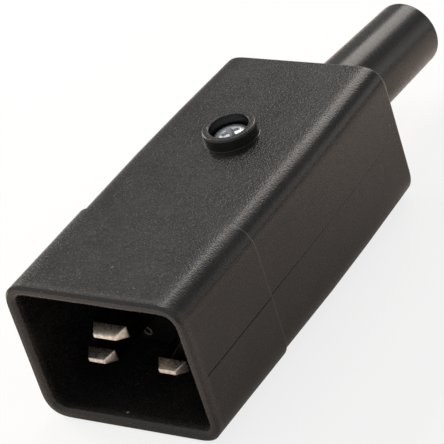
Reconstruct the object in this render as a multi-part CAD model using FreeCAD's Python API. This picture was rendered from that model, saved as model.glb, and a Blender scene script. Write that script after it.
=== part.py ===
import FreeCAD, Part
import math
import os

# Rewireable in-line power plug, male, 16 A.
# Millimetres. The origin is the centre of the mating rim: the pins point to -Y, the cord leaves towards +Y
# and the housing screw is on top, at +Z.

Vector = FreeCAD.Vector
RIGHT = Vector(1, 0, 0)
BACK = Vector(0, 1, 0)
UP = Vector(0, 0, 1)

# Outer shell
shroud_width = 32.7
shroud_height = 25.0
shroud_wall = 1.9
shroud_corner = 3.9
rim_outer_round = 0.5
rim_lead_in = 0.9
step_inset = 0.34
step_run = 0.3
ledge_width = 0.65
taper_lead = 1.1
taper_side_inset = 0.95
taper_height_inset = 0.13
rear_wall = 2.0
cavity_corner = 1.0
rear_edge_round = 0.8
least_corner = 0.3

# Screw collar, and the screw and nut that hold the insert
collar_wall = 1.2
collar_height = 2.0
collar_edge_round = 0.45
head_sink = 1.1
seat_web = 1.7
housing_screw_radius = 1.5
housing_head_radius = 2.75
housing_head_height = 2.0
head_crown = 0.5
head_crown_run = 1.2
cross_width = 0.9
cross_span = 3.1
cross_depth = 1.2
cross_taper = 0.5
nut_width = 5.5
nut_thickness = 1.8
screw_past_nut = 0.6

# Pins, with their pillar terminals
recess_depth = 18.0
pin_pitch = 13.0
earth_offset = 8.0
pin_group_rise = 0.5
live_pin_width = 5.0
earth_pin_width = 6.0
pin_thickness = 2.0
live_tip_setback = 4.0
earth_tip_setback = 0.8
tip_length = 1.9
tip_face_thickness = 0.7
tip_side_slope = 1.0
terminal_width = 6.0
terminal_height = 5.0
terminal_length = 9.5
terminal_corner = 0.6
wire_hole_radius = 1.5
wire_hole_depth = 7.5
terminal_screw_radius = 1.4
terminal_screw_length = 2.8
terminal_head_radius = 2.2
terminal_head_height = 1.2
terminal_head_stand = 0.3

# Contact carrier
plate_thickness = 2.2
web_thickness = 2.0
barrier_overhang = 1.5
post_gap = 4.25
post_wall = 1.35
post_corner = 1.5
nut_cover = 1.8
tongue_thickness = 3.2
tongue_corner = 2.0
wire_space = 4.4
saddle_length = 7.5
saddle_rear_gap = 2.2

# Cord, its clamp and its bend sleeve
cord_bore_radius = 4.4
cord_height = 0.3
clamp_seat_height = -0.5
clamp_ear_thickness = 2.2
clamp_ear_margin = 0.3
clamp_strap_thickness = 1.5
clamp_width = 6.0
clamp_screw_radius = 1.45
clamp_screw_length = 8.0
clamp_head_radius = 2.2
clamp_head_height = 1.6
grip_rib_width = 0.9
grip_rib_height = 0.6
grip_rib_pitch = 2.6
slot_width = 0.7
slot_depth = 0.6
guard_neck_wall = 0.8
guard_shoulder = 1.15
guard_end_wall = 1.42
guard_length = 30.1
guard_droop = 4.6
guard_end_round = 0.7
guard_end_run = 0.5
guard_flange_reach = 2.0
guard_flange_thickness = 1.5
guard_lead_in = 0.3

# Clearances
insert_clearance = 0.1
body_clearance = 0.3
pin_clearance = 0.05
terminal_clearance = 0.2
thread_clearance = 0.05
screw_clearance = 0.2
head_clearance = 0.45
access_clearance = 0.3
nut_clearance = 0.1
cord_clearance = 0.1
guard_clearance = 0.1

# Places along the plug that follow from those sizes, from the rim to the back
ledge_place = recess_depth + plate_thickness
terminal_face = ledge_place + web_thickness
terminal_end = terminal_face + terminal_length
terminal_screw_place = terminal_end - wire_hole_depth / 2
block_end = terminal_end + barrier_overhang
post_half_width = nut_width / 2 + nut_clearance + post_wall
collar_place = block_end + post_gap + post_half_width
taper_start = collar_place - taper_lead
saddle_start = collar_place + post_half_width + wire_space
saddle_end = saddle_start + saddle_length
clamp_place = (saddle_start + saddle_end) / 2
cavity_end = saddle_end + saddle_rear_gap + guard_flange_thickness
shell_length = cavity_end + rear_wall

# Widths and heights that follow
body_wall = shroud_wall + ledge_width - step_inset
body_width = shroud_width - 2 * step_inset
body_height = shroud_height - 2 * step_inset
recess_width = shroud_width - 2 * shroud_wall
recess_height = shroud_height - 2 * shroud_wall
recess_corner = max(shroud_corner - shroud_wall, least_corner)
block_width = body_width - 2 * body_wall - 2 * body_clearance
block_height = body_height - 2 * body_wall - 2 * body_clearance
pin_row_height = pin_group_rise - earth_offset / 2
earth_height = pin_group_rise + earth_offset / 2
collar_bore_radius = housing_head_radius + head_clearance
collar_radius = collar_bore_radius + collar_wall
collar_top = body_height / 2 + collar_height
head_seat = collar_top - head_sink - housing_head_height
pad_bottom = head_seat - seat_web
post_top = pad_bottom - insert_clearance
nut_top = post_top - nut_cover
nut_bottom = nut_top - nut_thickness
access_radius = terminal_head_radius + access_clearance
cord_groove_radius = cord_bore_radius + cord_clearance
clamp_arch_radius = cord_groove_radius + clamp_strap_thickness
clamp_screw_side = clamp_arch_radius + screw_clearance + clamp_head_radius
tongue_width = 2 * (clamp_screw_side + clamp_head_radius + clamp_ear_margin)
guard_neck_radius = cord_bore_radius + guard_neck_wall
guard_root_radius = guard_neck_radius + guard_shoulder
guard_end_radius = cord_bore_radius + guard_end_wall
guard_flange_radius = guard_neck_radius + guard_flange_reach
over = 1.0


def rounded_section(width, height, corner, place):
    """Closed wire of a rectangle with round corners, upright at y = place."""
    a = width / 2
    b = height / 2
    r = corner
    k = r * (1 - math.sqrt(0.5))

    def at(x, z):
        return Vector(x, place, z)

    edges = [
        Part.LineSegment(at(-a + r, b), at(a - r, b)).toShape(),
        Part.Arc(at(a - r, b), at(a - k, b - k), at(a, b - r)).toShape(),
        Part.LineSegment(at(a, b - r), at(a, -b + r)).toShape(),
        Part.Arc(at(a, -b + r), at(a - k, -b + k), at(a - r, -b)).toShape(),
        Part.LineSegment(at(a - r, -b), at(-a + r, -b)).toShape(),
        Part.Arc(at(-a + r, -b), at(-a + k, -b + k), at(-a, -b + r)).toShape(),
        Part.LineSegment(at(-a, -b + r), at(-a, b - r)).toShape(),
        Part.Arc(at(-a, b - r), at(-a + k, b - k), at(-a + r, b)).toShape(),
    ]
    return Part.Wire(edges)


def rounded_bar(width, height, corner, start, end, x=0.0, z=0.0):
    """Bar of that section from y = start to y = end."""
    face = Part.Face(rounded_section(width, height, corner, start))
    bar = face.extrude(BACK * (end - start))
    bar.translate(Vector(x, 0, z))
    return bar


def box_between(low, high):
    """Plain block between two corners."""
    size = [high[i] - low[i] for i in range(3)]
    return Part.makeBox(size[0], size[1], size[2], Vector(*low))


def upright(radius, low, high, x, y):
    """Cylinder along Z."""
    return Part.makeCylinder(radius, high - low, Vector(x, y, low), UP)


def along(radius, start, end, x, z):
    """Cylinder along Y."""
    return Part.makeCylinder(radius, end - start, Vector(x, start, z), BACK)


def turned(points, axis_place, axis):
    """Solid of revolution from a closed outline."""
    outline = Part.makePolygon(points + [points[0]])
    return Part.Face(outline).revolve(axis_place, axis, 360)


def edges_at(shape, test):
    """Edges whose whole bounding box passes a test."""
    return [edge for edge in shape.Edges if test(edge.BoundBox)]


def round_edges(shape, radius, test):
    """Rounds the edges that pass a test."""
    return shape.makeFillet(radius, edges_at(shape, test))


def flat_at(place):
    """Test for edges that lie in the plane y = place."""
    return lambda box: abs(box.YMin - place) < 1e-4 and abs(box.YMax - place) < 1e-4


def wall_between(front, back):
    """Face from an edge of one section to the same edge of the next: flat on a side, round at a corner."""
    starts = [vertex.Point for vertex in front.Vertexes]
    ends = [vertex.Point for vertex in back.Vertexes]
    if isinstance(front.Curve, Part.Line):
        return Part.Face(Part.makePolygon([starts[0], starts[1], ends[1], ends[0], starts[0]]))
    if abs(front.Curve.Radius - back.Curve.Radius) < 1e-6:
        return front.extrude(ends[0] - starts[0])
    return Part.makeRuledSurface(front, back)


def bay_between(front, back):
    """Solid between two upright sections."""
    faces = [wall_between(a, b) for a, b in zip(front.Edges, back.Edges)]
    shell = Part.makeShell(faces + [Part.Face(front), Part.Face(back)])
    shell.sewShape()
    return Part.Solid(shell)


def body_through(sections):
    """Solid with straight walls through a row of upright sections."""
    bays = [bay_between(front, back) for front, back in zip(sections, sections[1:])]
    return bays[0].fuse(bays[1:]).removeSplitter()


def softened_corner(inset, drop):
    """Distances in from a corner's two faces for a soft edge of two flats, from the side to the end face."""
    share = 1 - math.sqrt(0.5)
    return [(0.0, drop), (inset * share, drop * share), (inset, 0.0)]


def body_section(place, inset, corner):
    """Section of the tapering body at y = place, a wall's thickness inside the outer face."""
    share = max(0.0, (place - taper_start) / (shell_length - taper_start))
    width = body_width - 2 * taper_side_inset * share
    height = body_height - 2 * taper_height_inset * share
    return rounded_section(width - 2 * inset, height - 2 * inset, corner, place)


def shroud_section(place, inset):
    """Section of the shroud at y = place, inside its outer face."""
    corner = max(shroud_corner - inset, least_corner)
    return rounded_section(shroud_width - 2 * inset, shroud_height - 2 * inset, corner, place)


def make_collar():
    """Stub round the housing screw, with a soft upper edge. Its lower half is buried in the body."""

    def at(radius, height):
        return Vector(radius, collar_place, height)

    soft_edge = [
        at(collar_radius - inset, collar_top - drop)
        for inset, drop in softened_corner(collar_edge_round, collar_edge_round)
    ]
    return turned([at(0, 0), at(collar_radius, 0)] + soft_edge + [at(0, collar_top)], at(0, 0), UP)


def make_outer_shell():
    """Shroud and body in one moulding, hollow, with the screw collar and the hole for the bend sleeve."""
    body_corner = shroud_corner - step_inset
    rim_edge = softened_corner(rim_outer_round, rim_outer_round)
    rear_edge = softened_corner(rear_edge_round, rear_edge_round)
    mouth_edge = softened_corner(rim_lead_in, rim_lead_in)
    skin = body_through(
        [shroud_section(drop, inset) for inset, drop in reversed(rim_edge)]
        + [
            shroud_section(ledge_place, 0),
            body_section(ledge_place + step_run, 0, body_corner),
            body_section(taper_start, 0, body_corner),
        ]
        + [body_section(shell_length - drop, inset, body_corner - inset) for inset, drop in rear_edge]
    )
    mouth = body_through(
        [shroud_section(drop, shroud_wall - inset) for inset, drop in reversed(mouth_edge)]
        + [shroud_section(ledge_place, shroud_wall)]
    )
    cavity = body_through(
        [
            body_section(ledge_place - over, body_wall, cavity_corner),
            body_section(taper_start, body_wall, cavity_corner),
            body_section(cavity_end, body_wall, cavity_corner),
        ]
    )
    pad = upright(collar_radius, pad_bottom, body_height / 2 - body_wall / 2, 0, collar_place)
    shell = skin.fuse(make_collar()).cut(mouth.fuse(cavity)).fuse(pad)
    shell = shell.cut(upright(collar_bore_radius, head_seat, collar_top + over, 0, collar_place))
    shank_hole = housing_screw_radius + screw_clearance
    shell = shell.cut(upright(shank_hole, pad_bottom - over, collar_top, 0, collar_place))
    neck_hole = guard_neck_radius + guard_clearance
    shell = shell.cut(along(neck_hole, cavity_end - over, shell_length + over, 0, cord_height))
    return shell.removeSplitter()


def pin_places():
    """Name, x, z, width and tip setback of each pin."""
    half = pin_pitch / 2
    return [
        ("line", -half, pin_row_height, live_pin_width, live_tip_setback),
        ("neutral", half, pin_row_height, live_pin_width, live_tip_setback),
        ("earth", 0.0, earth_height, earth_pin_width, earth_tip_setback),
    ]


def flat_section(width, thickness, place, x, z):
    """Sharp rectangle, upright at y = place."""
    corners = [(-1, -1), (1, -1), (1, 1), (-1, 1), (-1, -1)]
    return Part.makePolygon([Vector(x + i * width / 2, place, z + j * thickness / 2) for i, j in corners])


def make_pin(x, z, width, setback):
    """Flat blade with a pyramid tip, and a pillar terminal behind its shoulder."""
    blade = body_through(
        [
            flat_section(width - 2 * tip_side_slope, tip_face_thickness, setback, x, z),
            flat_section(width, pin_thickness, setback + tip_length, x, z),
            flat_section(width, pin_thickness, terminal_face, x, z),
        ]
    )
    terminal = rounded_bar(
        terminal_width, terminal_height, terminal_corner, terminal_face, terminal_end, x, z
    )
    pin = blade.fuse(terminal)
    pin = pin.cut(along(wire_hole_radius, terminal_end - wire_hole_depth, terminal_end + over, x, z))
    hole_radius = terminal_screw_radius + thread_clearance
    pin = pin.cut(upright(hole_radius, z, z + terminal_height, x, terminal_screw_place))
    return pin.removeSplitter()


def make_slotted_screw(x, y, head_bottom, head_radius, head_height, shank_radius, length):
    """Cheese-head screw that points down, with a straight slot."""
    head_top = head_bottom + head_height
    tip = head_bottom - length
    profile = [
        Vector(x, y, head_top),
        Vector(x + head_radius, y, head_top),
        Vector(x + head_radius, y, head_bottom),
        Vector(x + shank_radius, y, head_bottom),
        Vector(x + shank_radius, y, tip),
        Vector(x, y, tip),
    ]
    screw = turned(profile, Vector(x, y, 0), UP)
    slot_low = (x - head_radius - over, y - slot_width / 2, head_top - slot_depth)
    slot_high = (x + head_radius + over, y + slot_width / 2, head_top + over)
    return screw.cut(box_between(slot_low, slot_high))


def cross_arm(head_top, turned_round):
    """One tapering arm of the cross recess in the screw's head."""
    levels = []
    for height, share in ((head_top + slot_depth, 1.0), (head_top - cross_depth, cross_taper)):
        span = cross_span / 2 * share
        half = cross_width / 2 * share
        corners = [(-span, -half), (span, -half), (span, half), (-span, half), (-span, -half)]
        levels.append(Part.makePolygon([Vector(u, v, height) for u, v in corners]))
    arm = bay_between(*levels)
    arm.rotate(Vector(0, 0, 0), UP, 90 if turned_round else 0)
    return arm


def make_housing_screw():
    """Pan-head screw with a cross recess."""
    head_top = head_seat + housing_head_height
    tip = nut_bottom - screw_past_nut
    shank = housing_screw_radius
    rim = housing_head_radius
    crown_edge = softened_corner(head_crown_run, head_crown)
    crown = [Vector(rim - inset, 0, head_top - drop) for inset, drop in crown_edge]
    profile = [
        Vector(0, 0, tip),
        Vector(shank, 0, tip),
        Vector(shank, 0, head_seat),
        Vector(rim, 0, head_seat),
    ]
    screw = turned(profile + crown + [Vector(0, 0, head_top)], Vector(0, 0, 0), UP)
    for turned_round in (False, True):
        screw = screw.cut(cross_arm(head_top, turned_round))
    screw.translate(BACK * collar_place)
    return screw


def make_housing_nut():
    low = (-nut_width / 2, collar_place - nut_width / 2, nut_bottom)
    high = (nut_width / 2, collar_place + nut_width / 2, nut_top)
    nut = box_between(low, high)
    hole_radius = housing_screw_radius + thread_clearance
    return nut.cut(upright(hole_radius, low[2] - over, high[2] + over, 0, collar_place))


def make_post():
    """Post on the tongue that reaches up to the collar's pad and holds the nut."""
    floor = -block_height / 2
    width = 2 * post_half_width
    post = rounded_bar(width, width, post_corner, floor, post_top)
    post.rotate(Vector(0, 0, 0), RIGHT, 90)
    post.translate(BACK * collar_place)
    hole_radius = housing_screw_radius + screw_clearance
    hole_bottom = nut_bottom - screw_past_nut - over
    post = post.cut(upright(hole_radius, hole_bottom, post_top + over, 0, collar_place))
    half = nut_width / 2 + nut_clearance
    pocket_low = (-half, collar_place - half, nut_bottom - nut_clearance)
    pocket_high = (half, collar_place + post_half_width + over, nut_top)
    return post.cut(box_between(pocket_low, pocket_high))


def make_tongue():
    """Floor behind the terminals, with the saddle that the cord is clamped on."""
    floor = -block_height / 2
    plate = box_between(
        (-tongue_width / 2, block_end - over, floor),
        (tongue_width / 2, saddle_end, floor + tongue_thickness),
    )
    saddle = box_between(
        (-tongue_width / 2, saddle_start, floor),
        (tongue_width / 2, saddle_end, clamp_seat_height),
    )
    tongue = plate.fuse(saddle).removeSplitter()
    at_rear = flat_at(saddle_end)
    tongue = round_edges(tongue, tongue_corner, lambda box: at_rear(box) and box.XLength < 1e-3)
    tongue = tongue.cut(along(cord_groove_radius, saddle_start - over, saddle_end + over, 0, cord_height))
    hole_radius = clamp_screw_radius + thread_clearance
    hole_bottom = clamp_seat_height - clamp_screw_length + clamp_ear_thickness - over
    hole_top = clamp_seat_height + over
    for side in (-1, 1):
        x = side * clamp_screw_side
        tongue = tongue.cut(upright(hole_radius, hole_bottom, hole_top, x, clamp_place))
    return tongue


def make_contact_carrier():
    """Moulded insert: recess floor, terminal chambers, nut post and cord saddle."""
    plate = rounded_bar(
        recess_width - 2 * insert_clearance,
        recess_height - 2 * insert_clearance,
        max(recess_corner - insert_clearance, least_corner / 2),
        recess_depth,
        ledge_place,
    )
    block = rounded_bar(block_width, block_height, cavity_corner, ledge_place - over, block_end)
    carrier = plate.fuse([block, make_tongue(), make_post()])
    chamber_width = terminal_width + 2 * terminal_clearance
    chamber_height = terminal_height + 2 * terminal_clearance
    for _, x, z, width, _ in pin_places():
        slot_width_half = width / 2 + pin_clearance
        slot_height_half = pin_thickness / 2 + pin_clearance
        slot_low = (x - slot_width_half, recess_depth - over, z - slot_height_half)
        slot_high = (x + slot_width_half, terminal_face, z + slot_height_half)
        chamber = rounded_bar(
            chamber_width, chamber_height, terminal_corner, terminal_face, block_end + over, x, z
        )
        access = upright(access_radius, z, block_height / 2 + over, x, terminal_screw_place)
        carrier = carrier.cut([box_between(slot_low, slot_high), chamber, access])
    return carrier.removeSplitter()


def make_cord_clamp():
    """Bridge over the cord: two ears, an arch and two grip ribs inside it."""
    seat = clamp_seat_height
    ear = seat + clamp_ear_thickness
    inner = cord_groove_radius
    outer = clamp_arch_radius
    reach = tongue_width / 2
    inner_foot = math.sqrt(inner**2 - (seat - cord_height) ** 2)
    outer_foot = math.sqrt(outer**2 - (ear - cord_height) ** 2)
    start = clamp_place - clamp_width / 2

    def at(x, z):
        return Vector(x, start, z)

    outline = Part.Wire(
        [
            Part.LineSegment(at(-reach, seat), at(-inner_foot, seat)).toShape(),
            Part.Arc(at(-inner_foot, seat), at(0, cord_height + inner), at(inner_foot, seat)).toShape(),
            Part.LineSegment(at(inner_foot, seat), at(reach, seat)).toShape(),
            Part.LineSegment(at(reach, seat), at(reach, ear)).toShape(),
            Part.LineSegment(at(reach, ear), at(outer_foot, ear)).toShape(),
            Part.Arc(at(outer_foot, ear), at(0, cord_height + outer), at(-outer_foot, ear)).toShape(),
            Part.LineSegment(at(-outer_foot, ear), at(-reach, ear)).toShape(),
            Part.LineSegment(at(-reach, ear), at(-reach, seat)).toShape(),
        ]
    )
    clamp = Part.Face(outline).extrude(BACK * clamp_width)
    for side in (-1, 1):
        rib_start = clamp_place + side * grip_rib_pitch / 2 - grip_rib_width / 2
        rib_end = rib_start + grip_rib_width
        rib = along(inner + clamp_strap_thickness / 2, rib_start, rib_end, 0, cord_height)
        rib = rib.cut(along(inner - grip_rib_height, rib_start - over, rib_end + over, 0, cord_height))
        below_low = (-outer, rib_start - over, cord_height - outer)
        below_high = (outer, rib_end + over, seat)
        clamp = clamp.fuse(rib.cut(box_between(below_low, below_high)))
    hole_radius = clamp_screw_radius + screw_clearance
    for side in (-1, 1):
        x = side * clamp_screw_side
        clamp = clamp.cut(upright(hole_radius, seat - over, ear + over, x, clamp_place))
    return clamp.removeSplitter()


def make_cord_guard():
    """Bend sleeve: a flange inside the rear wall, a neck through it and a drooping tapered tube."""
    end = guard_length
    rounding = min(guard_end_round, guard_end_wall - least_corner)
    bore = cord_bore_radius
    slope = (guard_root_radius - guard_end_radius) / guard_length

    def at(radius, place):
        return Vector(radius, place, 0)

    soft_edge = [
        at(guard_end_radius - inset, end - drop) for inset, drop in softened_corner(rounding, guard_end_run)
    ]
    root_point = at(guard_root_radius + slope * over, -over)
    tube_outline = [at(bore, -over), root_point] + soft_edge + [at(bore, end)]
    tube = turned(tube_outline, Vector(0, 0, 0), BACK)
    tube.rotate(Vector(0, 0, 0), RIGHT, -guard_droop)
    tube.translate(Vector(0, shell_length, cord_height))
    reach = 2 * guard_root_radius
    inside = box_between((-reach, shell_length - reach, -reach), (reach, shell_length, reach))
    flange_face = cavity_end - guard_flange_thickness
    neck = along(guard_neck_radius, flange_face, shell_length, 0, cord_height)
    flange = along(guard_flange_radius, flange_face, cavity_end, 0, cord_height)
    lead_in = along(bore + guard_lead_in, flange_face, shell_length, 0, cord_height)
    root = neck.fuse(flange).cut(lead_in)
    return root.fuse(tube.cut(inside)).removeSplitter()


def build_parts():
    parts = {
        "outer_shell": make_outer_shell(),
        "contact_carrier": make_contact_carrier(),
        "cord_guard": make_cord_guard(),
        "cord_clamp": make_cord_clamp(),
        "housing_screw": make_housing_screw(),
        "housing_nut": make_housing_nut(),
    }
    for name, x, z, width, setback in pin_places():
        parts[name + "_pin"] = make_pin(x, z, width, setback)
        parts[name + "_terminal_screw"] = make_slotted_screw(
            x,
            terminal_screw_place,
            z + terminal_height / 2 + terminal_head_stand,
            terminal_head_radius,
            terminal_head_height,
            terminal_screw_radius,
            terminal_screw_length,
        )
    for name, side in (("left", -1), ("right", 1)):
        parts[name + "_clamp_screw"] = make_slotted_screw(
            side * clamp_screw_side,
            clamp_place,
            clamp_seat_height + clamp_ear_thickness,
            clamp_head_radius,
            clamp_head_height,
            clamp_screw_radius,
            clamp_screw_length,
        )
    return parts


os.makedirs("parts", exist_ok=True)
for node, shape in build_parts().items():
    if len(shape.Solids) != 1 or not shape.isValid():
        raise RuntimeError(node + " is not one sound solid")
    shape.exportStep("parts/" + node + ".step")
    print(node, round(shape.Volume, 1), "mm3")
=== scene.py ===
"""Looks of the in-line power plug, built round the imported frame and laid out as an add-on."""

import math

import bmesh
import bpy
from bpy.props import FloatProperty, FloatVectorProperty, IntProperty, PointerProperty
from mathutils import Matrix, Vector


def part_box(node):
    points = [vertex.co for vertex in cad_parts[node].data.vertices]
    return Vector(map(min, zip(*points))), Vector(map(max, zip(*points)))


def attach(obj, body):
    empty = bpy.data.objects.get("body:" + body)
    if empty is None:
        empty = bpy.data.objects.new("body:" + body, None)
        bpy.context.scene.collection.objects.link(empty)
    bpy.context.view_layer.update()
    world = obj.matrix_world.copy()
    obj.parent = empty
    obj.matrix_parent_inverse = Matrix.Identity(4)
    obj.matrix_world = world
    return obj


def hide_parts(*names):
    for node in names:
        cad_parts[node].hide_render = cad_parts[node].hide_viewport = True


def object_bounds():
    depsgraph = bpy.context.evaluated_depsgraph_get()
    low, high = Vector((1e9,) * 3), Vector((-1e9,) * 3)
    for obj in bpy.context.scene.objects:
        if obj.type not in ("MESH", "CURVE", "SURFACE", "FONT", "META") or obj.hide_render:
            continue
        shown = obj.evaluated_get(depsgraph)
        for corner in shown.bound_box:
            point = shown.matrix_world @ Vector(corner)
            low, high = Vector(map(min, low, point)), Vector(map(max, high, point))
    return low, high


bl_info = {
    "name": "In-line Power Plug",
    "version": (1, 0, 0),
    "blender": (4, 5, 0),
    "location": "3D View > Sidebar > Power Plug",
    "description": "Dresses the packed plug: shell, bend sleeve, pins, insert, screws and studio",
    "category": "Object",
}

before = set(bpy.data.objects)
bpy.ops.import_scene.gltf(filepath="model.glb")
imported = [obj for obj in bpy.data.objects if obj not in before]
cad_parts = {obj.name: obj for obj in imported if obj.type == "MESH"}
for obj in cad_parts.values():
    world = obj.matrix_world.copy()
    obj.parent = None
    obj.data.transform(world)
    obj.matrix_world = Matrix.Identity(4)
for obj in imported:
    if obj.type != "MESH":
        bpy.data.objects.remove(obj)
cad_low, cad_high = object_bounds()
shell_low, shell_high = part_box("outer_shell")
head_low, head_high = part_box("housing_screw")

MM = 0.001
UP = Vector((0.0, 0.0, 1.0))
RIGHT = Vector((1.0, 0.0, 0.0))
WHITE = (1.0, 1.0, 1.0, 1.0)

# Steps in each quarter round, and points round each turned piece
CORNER_STEPS = 18
EDGE_STEPS = 8
SMALL_EDGE_STEPS = 4
FOOT_STEPS = 6
SLEEVE_END_STEPS = 10
HEAD_EDGE_STEPS = 5
CROWN_STEPS = 14
MARK_STEPS = 8
COLLAR_SIDES = 72
SLEEVE_SIDES = 112
MARK_SIDES = 32

# Distances from an edge to the next ring, so that the shading bends only there, and round the collar's patch
CORNER_SUPPORT = 0.45 * MM
EDGE_SUPPORT = 0.35 * MM
FADE_SUPPORT = 3 * EDGE_SUPPORT
FINE_SUPPORT = 0.2 * MM
RIM_SUPPORT = 0.1 * MM
FOOT_SUPPORT = 0.25 * MM
MOUTH_SUPPORT = 0.3 * MM
ROOT_SUPPORT = 1.2 * MM
END_SUPPORT = 0.4 * MM
PATCH_MARGIN = 1.6 * MM

# Long corners: their reach as a share of the radius, and the power of their curve
CORNER_REACH = 1.28
CORNER_POWER = 2.668

# Parting line: bed and guard as shares of its half width, how its depth fades to the back, and its ends
SLOT_BED = 0.7
SLOT_GUARD = 3.0
PARTING_CLEAR = 2.0
PARTING_FAINT = 0.25
PARTING_FADE = 3.0
PARTING_END = 0.1 * MM

# Rows of faces that the rim, the collar's bore and its foot take up, and the radius of the bore's edge
RIM_ROWS = EDGE_STEPS + 3
COLLAR_BORE_ROWS = 6
COLLAR_FOOT_ROWS = FOOT_STEPS + 1
BORE_ROUND = 0.15 * MM

# Gaps that are closed, edges that count as flat or crisp, and overlaps for cutting
WELD_GAP = 1e-7
CAD_WELD_GAP = 1e-6
FLAT_ANGLE = math.radians(0.5)
CRISP_ANGLE = math.radians(12)
SHARP_ANGLE = math.radians(38)
HAIR = 0.01 * MM
OVER = 1.0 * MM

# Screws: smallest radius at the axis, underside of a pan head, point, and plain ends in thread depths
AXIS_GAP = 0.02 * MM
UNDERSIDE_SHARE = 0.98
UNDERSIDE_RISE = 0.08 * MM
SCREW_POINT = 0.3 * MM
THREAD_MARGIN = 1.5

# Recess in a head: how level its floor is, and how deep it lies in crown heights
LEVEL_LIMIT = 0.8
CROWN_MARGIN = 1.1

# Marked faces. Pins' tips: slopes that are scuffed and painted brighter as a painted reflection, their top
# slopes less so as painted shade, and how far the marked dark tone moves to the light one; and the painted
# highlight line behind the rim
FACE_MARK = "marked_face"
TIP_LIMIT = -0.1
TIP_TOP_LIMIT = 0.3
TOP_SHEEN = 0.75
MARKED_EVENNESS = 0.5
# The rim's line is a painted highlight, a lighter band just behind the rim
RIM_SHEEN_PLACE = 1.0 * MM
RIM_SHEEN_WIDTH = 0.9 * MM
RIM_SHEEN_SHARE = 0.22

# Grain, which is shallower on faces along the mould's opening direction, and mottling
DRAFT_MARK = "steep_to_mould"
DRAFT_POWER = 40
CLOUD_SCALE = 0.035
GRAIN_SHARE = 0.55
GRAIN_BAND = (0.35, 0.7)
CLOUD_BAND = (0.3, 0.7)
BLOTCH_BAND = (0.4, 0.6)
MARK_FINENESS = 3.0
GLOSS_SPREAD = 0.05
SMOOTH_RELIEF = 0.05
PLATING_RELIEF = 0.002 * MM
PLATING_BUMP = 0.5

# Sockets of a Mix node that blends colours
MIX_FIRST = 6
MIX_SECOND = 7
MIX_RESULT = 2

# Room: where its walls and its ceiling grow brighter, and the height at which one gives way to the other
WALL_FACING = (0.8, 0.6, 0.0)
WALL_BAND = (-0.1, 0.6)
CEILING_FACING = (-0.4, -0.7, 0.6)
CEILING_BAND = (0.1, 0.8)
HORIZON_BAND = (0.09, 0.16)

# Camera's sensor in millimetres, floor, and distance of the softboxes in metres
SENSOR_WIDTH = 36.0
FLOOR_ROUGHNESS = 0.9
LAMP_DISTANCE = 1.2


def length(text, millimetres):
    """A size that a user may change, shown as a length."""
    return FloatProperty(description=text, default=millimetres * MM, precision=5, unit="LENGTH")


def degrees(text, value):
    """A turn that a user may change, shown as an angle."""
    return FloatProperty(description=text, default=math.radians(value), subtype="ANGLE")


def number(text, value):
    """A plain number."""
    return FloatProperty(description=text, default=value)


def share(text, value):
    """A number from 0 to 1."""
    return FloatProperty(description=text, default=value, min=0.0, max=1.0, subtype="FACTOR")


def colour(text, red, green, blue):
    """A plain linear colour."""
    values = (red, green, blue)
    return FloatVectorProperty(description=text, default=values, min=0.0, max=1.0, subtype="COLOR")


class PlugShellSizes(bpy.types.PropertyGroup):
    """Sizes of the moulded shell."""

    wall: length("Thickness of the shroud's wall", 1.9)
    corner: length("Radius of the shroud's long edges", 3.9)
    rim_back: length("How far the chamfer round the rim reaches back", 0.42)
    rim_drop: length("How far that chamfer reaches inwards", 0.45)
    mouth_round: length("Radius of the rim's inner edge", 0.9)
    step_place: length("Distance of the step behind the rim", 20.2)
    step_run: length("Length of the step's slope", 0.3)
    step_inset: length("How far the body sits inside the shroud", 0.34)
    step_edge: length("Radius of the step's outer edge", 0.25)
    taper_place: length("Where the body starts to narrow", 40.55)
    taper_side: length("How far each side comes in at the back", 0.95)
    taper_height: length("How far top and bottom come in at the back", 0.13)
    body_wall: length("Thickness of the body's wall", 2.21)
    rear_wall: length("Thickness of the wall that holds the sleeve", 2.0)
    rear_round: length("Radius of the edge round the rear face", 0.8)
    cavity_corner: length("Radius of the hollow's long edges", 1.0)
    neck_hole: length("Radius of the hole for the sleeve", 5.3)
    neck_height: length("Height of that hole's centre", 0.3)
    parting_low: length("Height of the mould's parting line at the rim", -0.6)
    parting_high: length("Height of the mould's parting line at the back", 0.2)
    parting_width: length("Width of the parting line's groove", 0.15)
    parting_depth: length("Depth of the parting line's groove", 0.09)
    parting_front: length("Distance from the rim to the parting line", 1.5)
    parting_rear: length("Distance from the back to the parting line", 3.5)
    collar_radius: length("Outer radius of the screw collar", 4.4)
    collar_bore: length("Radius of the hole for the screw's head", 3.2)
    collar_round: length("Radius of the collar's upper edge", 0.4)
    collar_foot: length("Radius of the fillet at the collar's foot", 0.08)
    shank_hole: length("Radius of the hole for the screw's shank", 1.7)
    head_seat: length("Height of the seat under the screw's head", 11.06)
    pad_bottom: length("Height of the underside of the collar's pad", 9.36)


class PlugSleeveSizes(bpy.types.PropertyGroup):
    """Sizes of the bend sleeve."""

    bore: length("Radius of the hole for the cord", 4.4)
    root_radius: length("Outer radius at the shell", 6.35)
    end_radius: length("Outer radius at the far end", 5.82)
    run: length("Length of the sleeve behind the shell", 30.1)
    end_round: length("How far the end's soft edge reaches inwards", 0.7)
    end_run: length("How far the end's soft edge reaches along the sleeve", 0.5)
    mouth_round: length("Radius of the edge of the bore", 0.15)
    neck_radius: length("Radius of the neck in the rear wall", 5.2)
    flange_radius: length("Radius of the flange inside the shell", 7.2)
    flange_thickness: length("Thickness of that flange", 1.5)
    lead_in: length("How much wider the bore is inside the rear wall", 0.3)
    droop: degrees("How far the sleeve leans down", 4.6)


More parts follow.
